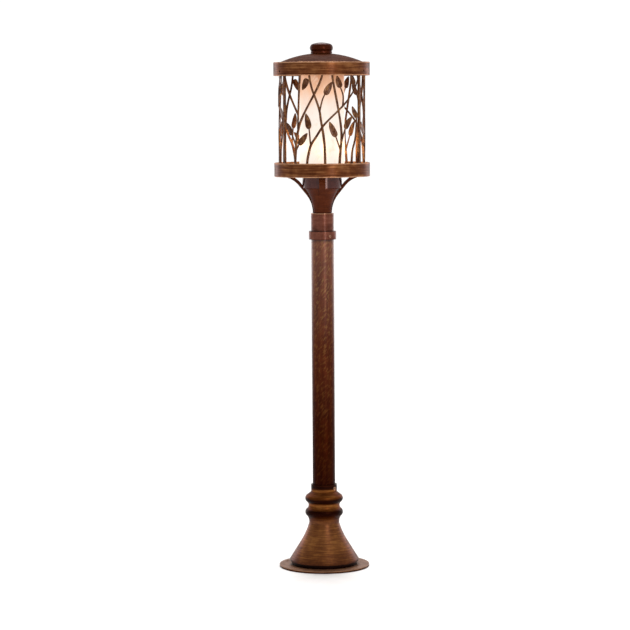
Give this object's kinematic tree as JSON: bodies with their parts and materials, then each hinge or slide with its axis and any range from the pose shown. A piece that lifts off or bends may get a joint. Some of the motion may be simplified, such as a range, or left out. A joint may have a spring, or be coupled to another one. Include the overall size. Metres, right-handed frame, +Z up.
{
  "type": "garden path lantern",
  "caption": "Garden lantern on a round post: a twig-and-leaf metal cage round a lit glass cylinder, with a domed lift-off roof, a flared neck and a bell foot on a ground plate",
  "frame": {"origin": "on the ground, at the centre of the ground plate, on the post's axis", "axes": "+Z up along the post, -Y the front, +X to the right of someone facing the front"},
  "size_m": [0.216, 0.216, 1.1837],
  "materials": {
    "rubbed_bronze": "hand-rubbed bronze coat on cast metal",
    "bronzed_tube": "satin bronze coat on steel tube",
    "coated_plate": "satin bronze coat on flat steel",
    "fastener_steel": "dark oiled steel",
    "opal_glass": "etched opal glass",
    "lamp_glass": "frosted lamp glass",
    "porcelain": "glazed porcelain",
    "contact_brass": "drawn brass",
    "lead_insulation": "smooth flexible insulation",
    "connector_nylon": "moulded nylon"
  },
  "bodies": {
    "stand": {"base_plate": "coated_plate", "bell_base": "rubbed_bronze", "bell_screws": "fastener_steel", "post_tube": "bronzed_tube", "lead_wires": "lead_insulation", "wire_connectors": "connector_nylon"},
    "lantern": {"post_coupler": "rubbed_bronze", "neck_casting": "rubbed_bronze", "socket_cup": "rubbed_bronze", "stem_nipple": "fastener_steel", "stem_nuts": "fastener_steel", "lantern_pan": "rubbed_bronze", "arm_screws": "fastener_steel", "cage_panel_1": "rubbed_bronze", "cage_panel_2": "rubbed_bronze", "cage_panel_3": "rubbed_bronze", "cage_rivets": "fastener_steel", "cage_screws": "fastener_steel", "glass_gallery": "fastener_steel", "glass_cylinder": "opal_glass", "lampholder_body": "porcelain", "lampholder_shell": "contact_brass", "lampholder_contact": "contact_brass"},
    "bulb": {"bulb_glass": "lamp_glass", "bulb_cap": "contact_brass", "bulb_contact": "contact_brass"},
    "roof": {"roof_band": "rubbed_bronze", "roof_dome": "rubbed_bronze", "finial_stud": "fastener_steel", "finial_washer": "fastener_steel", "finial_nut": "fastener_steel"},
    "finial": {"finial_knob": "rubbed_bronze"},
    "base_screw": {"base_set_screw": "fastener_steel"},
    "collar_screw": {"collar_set_screw": "fastener_steel"},
    "roof_screw_a": {"roof_screw_1": "fastener_steel"},
    "roof_screw_b": {"roof_screw_2": "fastener_steel"},
    "roof_screw_c": {"roof_screw_3": "fastener_steel"}
  },
  "joints": [
    {"name": "lantern_turn", "type": "hinge", "parent": "stand", "child": "lantern", "pos_m": [0, 0, 0.75], "axis": [0, 0, 1], "range_deg": [-170, 170]},
    {"name": "bulb_unscrew", "type": "hinge", "parent": "lantern", "child": "bulb", "pos_m": [0, 0, 0.93], "axis": [0, 0, 1], "range_deg": [0, 1440]},
    {"name": "roof_lift", "type": "slide", "parent": "lantern", "child": "roof", "axis": [0, 0, 1], "range_m": [0, 0.25]},
    {"name": "finial_turn", "type": "hinge", "parent": "roof", "child": "finial", "pos_m": [0, 0, 1.16], "axis": [0, 0, 1], "continuous": true},
    {"name": "base_screw_turn", "type": "hinge", "parent": "stand", "child": "base_screw", "pos_m": [0, 0, 0.17905], "axis": [0.809, -0.5878, 0], "continuous": true},
    {"name": "collar_screw_turn", "type": "hinge", "parent": "lantern", "child": "collar_screw", "pos_m": [0, 0, 0.75115], "axis": [0.5592, -0.829, 0], "continuous": true},
    {"name": "roof_screw_a_turn", "type": "hinge", "parent": "roof", "child": "roof_screw_a", "pos_m": [0, 0, 1.11955], "axis": [0.866, -0.5, 0], "continuous": true},
    {"name": "roof_screw_b_turn", "type": "hinge", "parent": "roof", "child": "roof_screw_b", "pos_m": [0, 0, 1.11955], "axis": [0, 1, 0], "continuous": true},
    {"name": "roof_screw_c_turn", "type": "hinge", "parent": "roof", "child": "roof_screw_c", "pos_m": [0, 0, 1.11955], "axis": [-0.866, -0.5, 0], "continuous": true}
  ]
}
